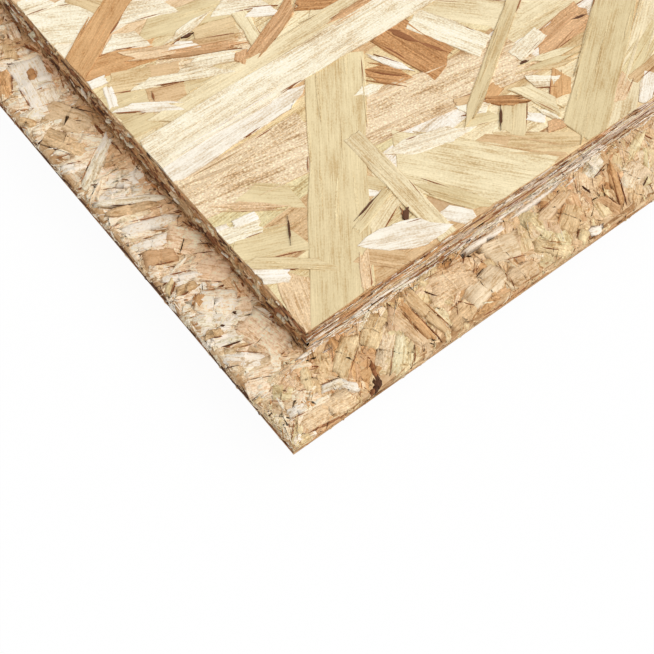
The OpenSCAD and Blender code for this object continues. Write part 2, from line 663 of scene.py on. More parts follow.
def glued_core():
    # What shows of the board between the strands: crushed flakes soaked in brown glue, in thin layers along each edge.
    # Their brown is partly painted shade in the gaps.
    material, tree = new_material("milled_strand_core")
    place = add(tree, "ShaderNodeTexCoord").outputs["Object"]
    normal = add(tree, "ShaderNodeNewGeometry").outputs["Normal"]
    facing = add(tree, "ShaderNodeSeparateXYZ", Vector=normal)
    turned = add(tree, "ShaderNodeMath", {"operation": "ABSOLUTE"}, i0=facing)
    layers = []
    for size in CORE_FLAKES:
        scaled = add(tree, "ShaderNodeMapping", Vector=place, Scale=tuple(1 / (part * MM) for part in size))
        layers.append(add(tree, "ShaderNodeTexVoronoi", Vector=scaled, Scale=1.0).outputs["Color"])
    chip = add(tree, "ShaderNodeMix", {"data_type": "RGBA"}, i0=turned, i6=layers[0], i7=layers[1]).outputs[2]
    pick = add(tree, "ShaderNodeSeparateColor", Color=chip)
    rough = add(tree, "ShaderNodeTexNoise", Vector=place, Scale=1 / (CORE_FLUFF * MM), Detail=3.0)
    pick = add(tree, "ShaderNodeMath", {"operation": "MULTIPLY_ADD"}, i0=pick, i1=0.5, i2=-0.2)
    pick = add(tree, "ShaderNodeMath", {"operation": "MULTIPLY_ADD"}, i0=rough, i1=0.9, i2=pick)
    ramp = add(tree, "ShaderNodeValToRGB", Fac=pick)
    for index, (position, shade) in enumerate(CORE_SHADES):
        stops = ramp.color_ramp.elements
        stop = stops[index] if index < 2 else stops.new(position)
        stop.position = position
        stop.color = (*linear(shade), 1.0)
    bump = add(tree, "ShaderNodeBump", Strength=0.8, Distance=0.2 * MM, Height=rough)
    shader = add(tree, "ShaderNodeBsdfPrincipled", Base_Color=ramp, Roughness=0.85, IOR=1.5,
                 Specular_IOR_Level=0.2, Normal=bump)
    add(tree, "ShaderNodeOutputMaterial", Surface=shader)
    return material


# Surfaces of the board, each with millimetres along, across and outward

# Along each tongue, and out from its shoulder
TONGUE_AXES = {"long": ((1, 0, 0), (0, -1, 0)), "short": ((0, 1, 0), (-1, 0, 0))}
# Radius of the tip's two edges, as the solid has it
TIP_RADIUS = 0.9
# How much of a flake's height is left on the tip
TIP_PROUD = 0.5
# Middle of the root's rounding, out from the shoulder and above the flank
ROOT_OUT = 0.21
ROOT_RISE = 0.15


def top_surface():
    return Surface(tuple(FACE_LOW), (1, 0, 0), (0, 1, 0), (0, 0, 1))


def bottom_surface():
    return Surface((FACE_LOW[0], FACE_LOW[1], BOX_LOW[2]), (1, 0, 0), (0, 1, 0), (0, 0, -1))


def round_tongue(along, run, height):
    """Bends what lies flat over a tongue's flank, its tip and the corner where the two tongues meet. Millimetres along
    the edge, out from the shoulder and above the surface become those along, out and up."""
    settings = bpy.context.scene.strand_edges
    taper = math.atan2((settings.tongue_root - settings.tongue_tip) / 2 / MM, TONGUE)
    sine, cosine = math.sin(taper), math.cos(taper)
    flank = (TONGUE - TIP_RADIUS * (1 - sine)) / cosine
    arc = math.pi / 2 - taper
    other = -along > run
    reach = np.maximum(run, -along)
    turn = taper + np.clip((reach - flank) / TIP_RADIUS, 0, arc)
    straight = np.minimum(reach, flank)
    past = np.maximum(reach - flank - TIP_RADIUS * arc, 0)
    height = height * np.where(reach > flank, TIP_PROUD, 1.0)
    out = straight * cosine + TIP_RADIUS * (np.sin(turn) - sine) + height * np.sin(turn)
    rise = TIP_RADIUS * (np.cos(turn) - cosine) - straight * sine - past + height * np.cos(turn)
    return np.where(other, -out, np.maximum(along, -out)), np.where(other, np.minimum(run, out), out), rise


def flank_surface(side, up):
    """One flank of a tongue with half of the tip: along the edge from the face's corner, and out from the shoulder."""
    middle = (BOX_LOW[2] + BOX_HIGH[2]) / 2
    origin = (FACE_LOW[0], FACE_LOW[1], middle + up * bpy.context.scene.strand_edges.tongue_root / 2)
    return Surface(origin, *TONGUE_AXES[side], (0, 0, up), round_tongue)


def root_surface(side):
    """The rounded root between a tongue's upper flank and its shoulder."""
    flank = flank_surface(side, 1)
    out, up = np.array(flank.across), np.array(flank.outward)
    origin = np.array(flank.origin) + (out * ROOT_OUT + up * ROOT_RISE) * MM
    diagonal = math.sqrt(0.5)
    return Surface(origin, flank.along, (out - up) * diagonal, (out + up) * diagonal)


def edge_surface(side, low):
    """One upright edge: along it, up from a given height, and outward."""
    height = BOX_LOW[2] + low * MM
    corner, along, out = {
        "long tongue": (FACE_LOW, (1, 0, 0), (0, -1, 0)),
        "short tongue": (FACE_LOW, (0, 1, 0), (-1, 0, 0)),
        "long groove": ((FACE_LOW[0], FACE_HIGH[1]), (1, 0, 0), (0, 1, 0)),
        "short groove": ((FACE_HIGH[0], FACE_LOW[1]), (0, 1, 0), (1, 0, 0)),
    }[side]
    return Surface((corner[0], corner[1], height), along, (0, 0, 1), out)


# Strands of the face at the tongues' corner, in the order of tone, start, end, width, level and kind of ends. Starts
# and ends are millimetres along the long and the short edge, and a higher level lies over a lower one.
# The strands named dark are thin slivers painted as the shade in gaps between strands
CORNER = (
    # Broad strands
    ("pink", (-4, 31.3), (64, 20), 9.5, 2, "slant"),
    ("pink", (-3, 32.6), (24, 32), 3.5, 3, "square"),
    ("straw", (4.2, -4), (36.5, 40), 9.8, 5, "square"),
    ("cream", (-3, 41.2), (60, 41.4), 6.6, 8, "slant"),
    ("white", (-3, 36.3), (28.5, 37.2), 4.6, 7, "point"),
    ("pale", (3.5, 45.8), (52, 46.4), 3.4, 6, "slant"),
    ("straw", (56, 0.2), (89, 24.8), 7.2, 6, "slant"),
    ("pale", (30, 18.4), (47.5, -3), 11.2, 4, "slant"),
    ("pale", (28.1, 24.6), (28.0, -2), 3.5, 6, "square"),
    ("white", (15.6, 7.3), (30, 1.2), 4.8, 7, "point"),
    ("brown", (46.2, 40), (49.6, 25.6), 7.6, 4, "step"),
    ("brown", (37.6, 34.0), (43.8, 27), 3.9, 4, "point"),
    ("umber", (46.0, 39.2), (49.4, 32.0), 1.4, 5, "point"),
    ("umber", (48.6, 33.4), (51.9, 27.4), 0.7, 5, "point"),
    ("umber", (43.4, 36.6), (45.2, 30.6), 0.6, 5, "point"),
    ("umber", (38.2, 33.4), (43.0, 28.0), 0.5, 5, "point"),
    ("cream", (51.3, 37.6), (57.3, 25), 5.0, 5, "square"),
    ("pale", (52, 41), (68, 25), 6.0, 3, "slant"),
    ("pale", (58, 41), (75, 26.5), 6.5, 2, "slant"),
    ("straw", (43.4, 14.2), (72, 32.6), 2.3, 7, "point"),
    ("rust", (63, 19.4), (76.6, 20.8), 5.0, 4, "torn"),
    # Round the pale strand near the right edge
    ("straw", (30, 11), (38, -1.5), 3.0, 5, "point"),
    ("cream", (29.6, 18.5), (45.4, 13.4), 3.2, 5, "point"),
    ("tan", (41.6, 13), (54.5, -1.5), 4.0, 3, "slant"),
    ("gold", (45, 9.4), (59, -1), 4.4, 3, "slant"),
    ("white", (29.3, 5.2), (34.6, -1), 3.0, 4, "slant"),
    ("dark", (24.2, 6.0), (26.2, 8.3), 1.0, 7, "slant"),
    ("umber", (25.5, 9.0), (24.6, 5.4), 0.7, 6, "point"),
    # Right end of the photograph
    ("pale", (62, -1.5), (90, 17.5), 4.4, 4, "slant"),
    ("straw", (69, 4.6), (84, 11), 3.0, 4, "square"),
    ("peach", (65.6, 2.6), (72.4, 6.2), 2.5, 5, "slant"),
    ("tan", (71.4, 4.8), (79, 5.6), 2.0, 5, "torn"),
    ("white", (70, 0), (75.4, 4.2), 2.4, 5, "square"),
    ("straw", (72, 7.5), (92, 14), 5.0, 3, "slant"),
    ("pale", (60.5, 25.6), (78, 25), 5.5, 2, "square"),
    ("cream", (59.6, 20.4), (66.8, 21.8), 3.0, 5, "square"),
    ("dark", (72.4, 20.6), (75.6, 19.8), 0.5, 5, "point"),
    ("dark", (59.4, 18.9), (61.0, 18.3), 0.6, 6, "slant"),
    ("straw", (57.3, 17.6), (69.4, 14.4), 1.3, 6, "point"),
    ("pale", (58.6, 18.6), (70.6, 15.4), 1.3, 6, "point"),
    ("gold", (60, 16.2), (68.5, 13.6), 1.2, 5, "point"),
    # Small pieces between the pale strand and the right end
    ("tan", (45.3, 19.2), (51.4, 17.4), 1.8, 5, "torn"),
    ("cream", (44.6, 17.6), (50.4, 15), 2.4, 5, "slant"),
    ("straw", (43.6, 15.2), (50.4, 12.9), 2.4, 4, "slant"),
    ("dark", (51.2, 14.3), (47.8, 10.3), 0.5, 7, "point"),
    ("orange", (49.6, 16.6), (53.6, 17.6), 2.3, 5, "torn"),
    ("brown", (49, 16.8), (55.8, 11.8), 1.7, 7, "point"),
    ("straw", (48.6, 8.6), (54.4, 14.4), 4.6, 4, "step"),
    ("pale", (55.6, 16.4), (58.8, 7), 3.0, 6, "slant"),
    ("cream", (55, 10.8), (57.2, 5.2), 1.0, 7, "point"),
    ("rust", (53.8, 6.3), (57.6, 5.4), 2.2, 5, "slant"),
    ("white", (53, 10), (55.2, 7.6), 1.8, 5, "torn"),
    ("orange", (59.4, 9), (64.2, 13.8), 3.4, 5, "slant"),
    ("cream", (57.4, 15.4), (62.4, 11.8), 2.6, 5, "slant"),
    ("white", (40.4, 36.2), (44.6, 28.2), 1.6, 5, "point"),
    ("cream", (33.2, 30.5), (38.8, 29.3), 2.1, 5, "point"),
    ("rust", (39, 45.2), (49.4, 44.8), 2.0, 7, "point"),
    # Along the left edge
    ("peach", (0.3, -3), (5.2, 11.5), 5.2, 4, "slant"),
    ("white", (-2, 14.3), (4.8, 9.7), 3.6, 5, "torn"),
    ("white", (2.6, 22.4), (7.0, 21.5), 1.6, 5, "torn"),
    ("cream", (-2, 21.9), (6.6, 19.6), 3.0, 4, "torn"),
    ("white", (-1.5, 23.6), (2.2, 22.7), 1.0, 5, "torn"),
    ("straw", (-1.5, 16.7), (11.6, 6.4), 2.2, 6, "slant"),
    ("peach", (1.6, 27.5), (12.2, 19.6), 1.8, 4, "point"),
    ("straw", (6.6, 27.2), (15.2, 19.3), 4.0, 3, "slant"),
    ("straw", (-2, 19.4), (11.5, 13.6), 5.6, 3, "slant"),
    ("peach", (11.2, -1.5), (16, 6.6), 1.9, 6, "slant"),
    ("tan", (14.5, 6.6), (21.4, -1), 3.4, 5, "slant"),
    # Between the two broad straw strands and the narrow upright one
    ("white", (20.6, 17), (26, 13.2), 3.0, 3, "torn"),
    ("straw", (21.2, 19.8), (27.4, 12), 2.6, 4, "slant"),
    ("straw", (16.8, 9.4), (26.4, 12.7), 1.8, 5, "torn"),
    ("pale", (17.6, 7.3), (27, 11.2), 2.8, 4, "slant"),
    ("dark", (18, 11.2), (24.6, 12.9), 0.35, 6, "point"),
    ("dark", (10.6, 18.5), (7.6, 13.7), 0.35, 8, "point"),
    # Upper left
    ("white", (0.6, 52.8), (10.4, 45.8), 2.0, 6, "slant"),
    ("cream", (5.4, 54.8), (21.6, 47.2), 2.0, 6, "slant"),
    ("peach", (7.2, 61), (18.4, 55.2), 2.4, 6, "slant"),
    ("rust", (12.6, 57.2), (26.6, 50.2), 2.0, 6, "point"),
    ("tan", (16.4, 57.0), (26.0, 52.2), 1.5, 6, "torn"),
    ("cream", (13.6, 53.3), (25.6, 48.3), 2.4, 5, "slant"),
    ("tan", (6.4, 51), (12.4, 48.6), 3.8, 4, "square"),
    ("gold", (2.6, 57.4), (9.6, 54.2), 4.6, 4, "step"),
    ("tan", (9.2, 55.4), (14, 52.6), 3.4, 4, "square"),
    ("straw", (-1, 48), (5.4, 46.8), 3.8, 4, "square"),
    ("white", (-1, 59.2), (3.4, 58.4), 1.8, 6, "torn"),
    ("white", (0.9, 52.6), (2.6, 57.2), 1.7, 4, "torn"),
    ("rust", (22.4, 47.2), (24.6, 49.8), 2.0, 6, "slant"),
    ("gold", (19.8, 56.6), (27, 54.4), 4.6, 4, "square"),
    ("cream", (14.6, 58.4), (25.6, 59.6), 1.8, 6, "point"),
    ("dark", (18.0, 57.9), (20.4, 57.5), 0.5, 7, "point"),
    ("umber", (7.7, 51.7), (6.9, 49.7), 0.35, 7, "point"),
    ("white", (15, 57.8), (20, 54.8), 1.9, 6, "slant"),
    ("pale", (27.4, 47.6), (29.2, 57.6), 2.6, 5, "square"),
    ("cream", (25.4, 60.4), (35, 55.6), 4.0, 5, "slant"),
    ("white", (29.6, 55.8), (35, 52.6), 2.2, 6, "slant"),
    ("rust", (23.6, 46.5), (39, 53.4), 2.7, 6, "slant"),
    ("brown", (37.6, 52.4), (44.6, 47.9), 3.4, 5, "torn"),
    ("pale", (38, 50.6), (56, 46), 5.0, 3, "slant"),
    ("straw", (-2, 53), (20, 47), 6.0, 2, "slant"),
    ("pink", (10, 57), (30, 49), 6.0, 2, "slant"),
    # Top left
    ("orange", (-2, 62), (16, 72.6), 4.7, 6, "square"),
    ("cream", (-2, 76.5), (11, 68.6), 8.4, 4, "slant"),
    ("orange", (-2, 63), (14, 58.6), 4.6, 3, "torn"),
    ("cream", (6.4, 65), (14, 61.4), 3.6, 5, "slant"),
    ("cream", (12, 69), (22, 65), 4.6, 4, "slant"),
    ("gold", (8.6, 78), (11.6, 71.5), 4.0, 5, "torn"),
    ("cream", (-2, 80.4), (6, 78.6), 4.0, 5, "slant"),
    ("straw", (12, 64), (30, 58.6), 5.4, 3, "slant"),
)
RANKED_CORNER = sorted(CORNER, key=lambda strand: strand[4])

# Where the loose strands stay off: millimetres along the short edge for each millimetre along the long one, and the
# sum at which that ends
CORNER_SLOPE = 0.78
CORNER_REACH = 92.0
# Height of the lowest strand at the corner, and how far each strand lies above the one under it
LEVEL_BASE = 0.10
RANK_STEP = 0.003
# Shortest and narrowest strand with splinters, how far each of them lies above the one before, millimetres of the
# strand for each of them, and how many more of them the streaked tones have
SPLINTERED = (6.0, 1.5)
SPLINTER_STEP = 0.011
SPLINTER_EVERY = 4.5
STREAKED = {"brown": 3, "rust": 2}
# One in so many splinters is an umber sliver painted as the shade of an open joint, and so many lie at heights of
# their own on one strand
SHADOW_GAP_EVERY = 10
SPLINTER_LEVELS = 7
# How torn the fibres of some tones are, and those of the others
FUZZ = {
    "white": 0.1, "cream": 0.4, "pink": 0.9, "peach": 0.5, "rust": 0.6, "brown": 0.7, "orange": 0.3, "straw": -0.1,
}
USUAL_FUZZ = 0.15

# Tones of the thrown strands, with their shares
FACE_TONES = {
    "cream": 14, "pale": 20, "straw": 22, "gold": 12, "pink": 11,
    "peach": 7, "tan": 6, "orange": 4, "white": 8, "brown": 4,
}
# The even layer's strands: width and the distance of their rows, and how much of its length one is laid on after
EVEN_WIDTH = 1.25
EVEN_ROWS = 0.72
EVEN_STEP = 0.9
# Length and width of whole, broken and small loose strands as shares of the usual ones, and how many there are of each
LOOSE_SIZES = ((1.0, 1.0, 0.55), (0.5, 0.65, 0.28), (0.22, 0.45, 0.17))
# Share of the loose strands that lie more or less along the board
ALIGNED = 0.85

# Cells along and across a blank for a strand that the photograph shows and for a thrown one, and whether it has a rim
SHOWN_STRAND = (20, 4, True)
THROWN_STRAND = (4, 2, False)


def span(start, end):
    """Middle, turn and length of what lies between two places."""
    run, rise = end[0] - start[0], end[1] - start[1]
    return (start[0] + end[0]) / 2, (start[1] + end[1]) / 2, math.atan2(rise, run), math.hypot(run, rise)


def corner_strands(rng, thick):
    """The strands listed for the corner, each at a height of its own."""
    return [
        Chip(
            *span(start, end), width, top=LEVEL_BASE + RANK_STEP * rank, thick=thick,
            tilt=tuple(rng.normal(0, (0.0002, 0.001))), curl=rng.normal(0, 0.01), taper=rng.normal(0, 0.06),
            tone=mixed_tone(rng, {name: 1}, 0.02), fuzz=FUZZ.get(name, USUAL_FUZZ), kind=kind,
        )
        for rank, (name, start, end, width, _, kind) in enumerate(RANKED_CORNER)
    ]


def splinters(rng, strands):
    """Fine splinters, streaks and umber slivers painted as the shade of open joints along laid strands, each at a
    height of its own.
    """
    chips = []
    for (name, *_), strand in zip(RANKED_CORNER, strands):
        if strand.length < SPLINTERED[0] or strand.width < SPLINTERED[1]:
            continue
        lengthways = np.array((math.cos(strand.turn), math.sin(strand.turn)))
        sideways = np.array((-lengthways[1], lengthways[0]))
        streaked = STREAKED.get(name, 1)
        darkest = 0.95 - 0.13 * streaked
        for rank in range(round(strand.length / SPLINTER_EVERY * streaked)):
            is_shadow_gap = rank % SHADOW_GAP_EVERY == 0
            is_streak = rank % 2 == 1
            length = rng.uniform(2.0, 6.0) if is_shadow_gap else rng.uniform(4.0, 14.0)
            length = min(length, strand.length * 0.8)
            side = rng.choice((-1, 1)) * (strand.width / 2 - abs(rng.normal(0, 0.25)))
            if is_streak:
                side = rng.uniform(-0.45, 0.45) * strand.width
            place = lengthways * rng.uniform(-0.5, 0.5) * (strand.length - length) + sideways * side
            # An open joint is an umber sliver on top of the strand: painted shade
            if is_shadow_gap:
                colour = tone("umber")
            else:
                colour = np.array(strand.tone) * rng.uniform(darkest, 1.06) ** REDDENING
            chips.append(Chip(
                strand.along + place[0], strand.across + place[1], turn=strand.turn + rng.normal(0, 0.04),
                length=length, width=rng.uniform(0.1, 0.2) if is_shadow_gap else rng.uniform(0.15, 0.55),
                top=strand.top + SPLINTER_STEP * (rank % SPLINTER_LEVELS + 2), thick=0.3,
                tilt=tuple(rng.normal(0, (0.001, 0.04))), curl=0.0, taper=rng.normal(0, 0.3),
                tone=tuple(np.clip(colour, 0, 1)), fuzz=0.3, kind="point",
            ))
    return chips


def in_corner(along, across, margin):
    return CORNER_SLOPE * along + across < CORNER_REACH + margin


def even_strands(rng, settings, low, high):
    """A closed layer of strands in rows along the board."""
    chips = []
    width = settings.width / MM * EVEN_WIDTH
    length = settings.length / MM
    for across in np.arange(low, high, width * EVEN_ROWS):
        along = -rng.uniform(0, length)
        while along < FACE_LENGTH + length / 2:
            size = length * rng.uniform(0.7, 1.3)
            chips.append(Chip(
                along + size / 2, across + rng.normal(0, 1.2), turn=rng.normal(0, 0.07),
                length=size, width=width * rng.uniform(0.85, 1.2),
                top=rng.uniform(0.01, 0.09), thick=settings.thickness / MM,
                tilt=(0.0, rng.normal(0, 0.004)), curl=0.0, taper=rng.normal(0, 0.15),
                tone=mixed_tone(rng, FACE_TONES), fuzz=rng.uniform(0.1, 0.5), kind=rng.choice(KINDS),
            ))
            along += size * EVEN_STEP
    return chips


def loose_strands(rng, settings, low, high, keep_off_corner):
    """Strands thrown on the even layer, long ones and broken ones, most of them along the board."""
    chips = []
    while len(chips) < round(settings.loose * (high - low) / FACE_WIDTH):
        long, wide, _ = LOOSE_SIZES[rng.choice(len(LOOSE_SIZES), p=[size[2] for size in LOOSE_SIZES])]
        length = settings.length / MM * long * rng.uniform(0.6, 1.35)
        width = settings.width / MM * wide * rng.uniform(0.6, 1.4)
        along, across = rng.uniform(0, FACE_LENGTH), rng.uniform(low, high)
        if rng.random() < ALIGNED:
            turn = rng.normal(0, settings.spread)
        else:
            turn = rng.uniform(-math.pi / 2, math.pi / 2)
        reach = np.array((-1, -0.5, 0, 0.5, 1)) * length / 2
        places = zip(along + reach * math.cos(turn), across + reach * math.sin(turn))
        if keep_off_corner and any(in_corner(*place, width) for place in places):
            continue
        chips.append(Chip(
            along, across, turn, length, width, top=rng.uniform(0.08, 0.32), thick=settings.thickness / MM,
            tilt=tuple(rng.normal(0, (0.0006, 0.005))), curl=rng.normal(0, 0.03), taper=rng.normal(0, 0.2),
            tone=mixed_tone(rng, FACE_TONES), fuzz=rng.uniform(0.1, 0.6), kind=rng.choice(KINDS),
        ))
    return chips


def thrown_strands(rng, settings, low, high, keep_off_corner):
    """All the thrown strands of one band of a face."""
    laid = even_strands(rng, settings, low, high)
    return laid + loose_strands(rng, settings, low, high, keep_off_corner)


def finish_face(name, groups, material, rng):
    """One band of a face's strands as a piece, sawn off at the four edges."""
    piece = join_chips(name, groups, material)
    saw(
        piece,
        (FACE_LOW, (-1, 0, 0)),
        (FACE_LOW, (0, -1, 0)),
        (FACE_HIGH, (1, 0, 0)),
        (FACE_HIGH, (0, 1, 0)),
    )
    fray(piece, rng)
    hand_over(piece)


def bands(count):
    """The widths of the face between which its bands lie."""
    edges = np.linspace(0, FACE_WIDTH, count + 1)
    return tuple(zip(edges[:-1], edges[1:]))


class BOARD_OT_core(bpy.types.Operator):
    """Gives the board itself the finish that shows between its strands"""

    bl_idname = "strand_board.core"
    bl_label = "Finish the core"

    def execute(self, context):
        BOARD.data.materials.clear()
        BOARD.data.materials.append(glued_core())
        return {"FINISHED"}


class BOARD_OT_face(bpy.types.Operator):
    """Lays the strands of the upper face in four bands along the board"""

    bl_idname = "strand_board.face"
    bl_label = "Lay the upper face"

    def execute(self, context):
        settings = context.scene.strand_face
        rng = np.random.default_rng(settings.seed)
        shown, thrown = blanks_of(model_strand, *SHOWN_STRAND), blanks_of(model_strand, *THROWN_STRAND)
        material = pressed_pine()
        surface = top_surface()
        for index, (low, high) in enumerate(bands(4)):
            chips = thrown_strands(rng, settings, low, high, True)
            groups = lay_chips(chips, thrown, surface, rng, (0.0, 0.5 if index == 0 else 1.0, 8.0))
            if index == 0:
                laid = corner_strands(rng, settings.thickness / MM)
                groups += lay_chips(laid, shown, surface, rng, (0.6, 1.0, 6.0))
                groups += lay_chips(splinters(rng, laid), thrown, surface, rng, (0.5, 0.6, 12.0))
            finish_face(f"face_strands_{index + 1}", groups, material, rng)
        return {"FINISHED"}


class BOARD_OT_underside(bpy.types.Operator):
    """Lays the strands of the lower face in two bands along the board"""

    bl_idname = "strand_board.underside"
    bl_label = "Lay the underside"

    def execute(self, context):
        settings = context.scene.strand_face
        rng = np.random.default_rng(settings.seed + 1)
        thrown = blanks_of(model_strand, *THROWN_STRAND)
        material = bpy.data.materials["pressed_pine_strand"]
        for index, (low, high) in enumerate(bands(2)):
            chips = thrown_strands(rng, settings, low, high, False)
            groups = lay_chips(chips, thrown, bottom_surface(), rng, (0.0, 1.0, 8.0))
            finish_face(f"underside_strands_{index + 1}", groups, material, rng)
        return {"FINISHED"}


# Tones of the milled flakes on each tongue from pale to dark, with their shares: broad flakes, strips and chips
MILLED_TONES = {
    "long": (
        {"straw": 8, "pink": 8, "gold": 14, "peach": 22, "tan": 28, "rust": 10, "orange": 10},
        {"cream": 10, "straw": 24, "gold": 18, "peach": 16, "tan": 20, "orange": 12},
        {"cream": 10, "gold": 12, "tan": 22, "rust": 20, "orange": 20, "brown": 16},
    ),
    "short": (
        {"milk": 10, "cream": 6, "blush": 52, "pink": 12, "peach": 20},
        {"milk": 32, "cream": 14, "blush": 34, "peach": 20},
        {"cream": 24, "peach": 24, "tan": 20, "rust": 18, "orange": 8, "brown": 6},
    ),
}
# Tones of the dark slivers painted as the shade in cracks, pits and gaps beside flakes
GAP_SHADE_TONES = {"brown": 38, "umber": 50, "dark": 12}
# Tones at each tongue's foot: pale on the long one, a painted highlight where its shoulder meets the root, and dark on
# the short one, partly browner wood and partly painted shade in the crease
FOOT_LIGHT_AND_SHADE_TONES = {
    "long": {"white": 40, "cream": 30, "ash": 20, "peach": 10},
    "short": {"rust": 30, "brown": 35, "umber": 25, "dark": 10},
}
# Dark slivers along the middle of each tip: painted shade on the tip's rounded side, darkest on the short tongue
TIP_SHADE_TONES = {
    "long": {"tan": 25, "rust": 35, "brown": 30, "umber": 10},
    "short": {"umber": 45, "dark": 55},
}

# Flakes near the corner that stand out: tone, start, end and width. Starts and ends are millimetres along the tongue
# from the face's corner, and outward from the shoulder.
# The narrow dark and umber flakes are slivers painted as the shade in pits, cracks and gaps
LONG_FLAKES = (
    ("peach", (-8.8, 8.9), (2.6, 10.0), 3.2), ("white", (-8.8, 6.2), (-5.4, 7.0), 1.7),
    ("white", (0.4, 6.8), (3.0, 9.8), 2.0), ("cream", (-2.6, 6.0), (2.4, 7.4), 1.4),
    ("gold", (-3.8, 5.8), (-1.8, 1.4), 2.0), ("straw", (-8.6, 1.4), (-5.4, 4.4), 2.6),
    ("dark", (4.7, 12.0), (5.7, 9.4), 0.9), ("dark", (5.5, 11.6), (6.6, 8.4), 0.9),
    ("umber", (5.9, 10.0), (7.2, 6.8), 0.9), ("umber", (3.7, 12.0), (4.9, 10.6), 0.9),
    ("gold", (0.8, 6.4), (8.2, 1.2), 3.0), ("gold", (7.4, 5.6), (13.6, 0.8), 3.2),
    ("pink", (7.2, 9.6), (13.4, 4.0), 2.6), ("pale", (8.8, 11.4), (14.0, 6.0), 2.0),
    ("straw", (11.4, 11.2), (14.4, 7.8), 1.4), ("peach", (14.4, 1.0), (15.8, 11), 2.2),
    ("orange", (16.8, 0.6), (17.4, 11.2), 1.5), ("tan", (18.6, 1.0), (20.0, 11), 1.9),
    ("umber", (17.5, 2.8), (18.3, 11.8), 0.5), ("peach", (20.6, 3.2), (31.2, 4.6), 4.4),
    ("pink", (25.4, 8.2), (34.0, 6.8), 3.6), ("tan", (20.8, 9.6), (26.6, 8.6), 3.0),
    ("dark", (21.0, 2.4), (22.6, 4.8), 0.35), ("umber", (22.8, 9.2), (24.4, 6.8), 0.5),
    ("umber", (24.2, 6.8), (26.4, 9.4), 0.5), ("pale", (25.4, 8.6), (29.4, 10.6), 0.8),
    ("pink", (32.4, 3.4), (40.2, 5.0), 4.0), ("peach", (33.2, 9.0), (39.6, 9.4), 3.0),
    ("white", (30.8, 1.0), (39, 1.4), 1.2), ("white", (40, 0.9), (53.4, 0.6), 1.0),
    ("gold", (40.6, 6.4), (45.6, 11.4), 2.2), ("umber", (41.4, 7.6), (43.8, 9.8), 0.4),
    ("tan", (46.2, 8.2), (52, 4.6), 3.2), ("white", (49.4, 10.2), (52.4, 11), 1.5),
    ("gold", (47.4, 10.8), (50.0, 9.4), 1.8), ("peach", (44, 4.0), (52.6, 2.4), 2.0),
    ("dark", (54.4, 3.0), (54.8, 5.0), 0.5), ("cream", (55.4, 2.4), (61.4, 0.6), 2.4),
    ("orange", (61.6, 1.6), (57.2, 10.4), 1.6), ("umber", (60.6, 2.6), (56.8, 10.4), 0.4),
    ("pink", (59.6, 8.4), (66, 5.2), 3.8),
)
SHORT_FLAKES = (
    ("blush", (11.4, 4.4), (1.8, 2.0), 4.6), ("milk", (8.4, 11), (2.4, 5.2), 2.4),
    ("cream", (10.6, 10.6), (8.0, 5.0), 1.2), ("tan", (12.8, 10.6), (11.2, 7.4), 1.6),
    ("dark", (12.4, 7.5), (11.8, 6.9), 0.6), ("dark", (12.9, 4.7), (12.5, 4.1), 0.5),
    ("blush", (19.0, 8.8), (13.4, 2.2), 4.0), ("milk", (17.4, 8.0), (14.8, 4.0), 2.2),
    ("orange", (17.0, 8.8), (19.0, 6.2), 1.7), ("blush", (23.4, 4.6), (18.4, 0.6), 3.6),
    ("milk", (25.6, 10.9), (21.2, 3.8), 1.5), ("gold", (22.4, 10.8), (24.2, 8.0), 1.2),
    ("tan", (21.8, 9.8), (20.6, 5.4), 1.6), ("rust", (30.2, 10.2), (27, 5.0), 2.6),
    ("brown", (29.6, 9.4), (27.8, 6.2), 1.4), ("blush", (31.4, 5.4), (25.4, 0.8), 4.4),
    ("milk", (32.8, 9.8), (30.2, 4.6), 2.0), ("milk", (36.9, 11), (32.2, 0.4), 2.0),
    ("tan", (41.2, 10.6), (36.4, 1.8), 1.9), ("cream", (43.9, 10.9), (36.6, 0.2), 1.6),
    ("milk", (44.4, 5.2), (42.2, 3.4), 1.5), ("blush", (44.1, 11.2), (46.9, 6.2), 0.9),
    ("cream", (46.3, 10.9), (53.4, 0), 2.2), ("milk", (52.9, 11), (50.3, 6.8), 1.7),
    ("tan", (61.4, 9.4), (52.2, 5.4), 3.2), ("peach", (64.8, 6.6), (56.2, 2.4), 4.4),
    ("orange", (60.2, 3.6), (58.4, 1.8), 1.6), ("milk", (76.0, 3.2), (64.0, 5.6), 5.4),
    ("brown", (73.4, 3.8), (70.2, 4.4), 1.7), ("tan", (66.4, 11), (62.8, 9.2), 1.8),
    ("orange", (76.5, 7.6), (70.5, 10.0), 2.6), ("tan", (80.4, 3.2), (76.8, 5.4), 2.6),
    ("milk", (84.0, 1.0), (79.6, 2.2), 2.0),
)

# Height of these flakes, how much higher narrow ones lie, and the widths below which they are narrow or pointed slivers
FEATURE_LEVEL = 0.38
NARROW_RISE = 0.08
NARROW = 2
SLIVER = 1
# How much longer and wider than it looks a flake is laid, since its thin rim sinks in
SUNK_RIM = (1.2, 1.35)
# Shares of the kinds of ends, in their order: milled flakes are mostly slanted, torn or pointed
FLAKE_ENDS = (0.08, 0.27, 0.25, 0.28, 0.12)
# How torn a flake's fibres are, at least and at most
FLAKE_FUZZ = (0.15, 0.65)
# How much browner flakes are beside a shoulder, partly browner wood and partly painted shade from the shoulder, how
# far out from it that ends, and how red, green and blue take part
FOOT_BROWN_AND_SHADE = {"long": 0.0, "short": 0.3}
FOOT_REACH = 5.0
FOOT_SHADE_HUES = np.array((0.3, 1.0, 1.7))
# Which way the cutter combed the fibres of each tongue, and how far they stray from it, in radians
COMBED = {"long": (-1.0, 0.55), "short": (1.08, 0.28)}
# Lengths of the waves in which tones change along a milled edge, in millimetres, and their strength
TONE_WAVES = ((26.0, 0.25), (10.7, 0.20))
# How far from the corner the photograph reaches, and so the finely made flakes
NEAR = 112.0
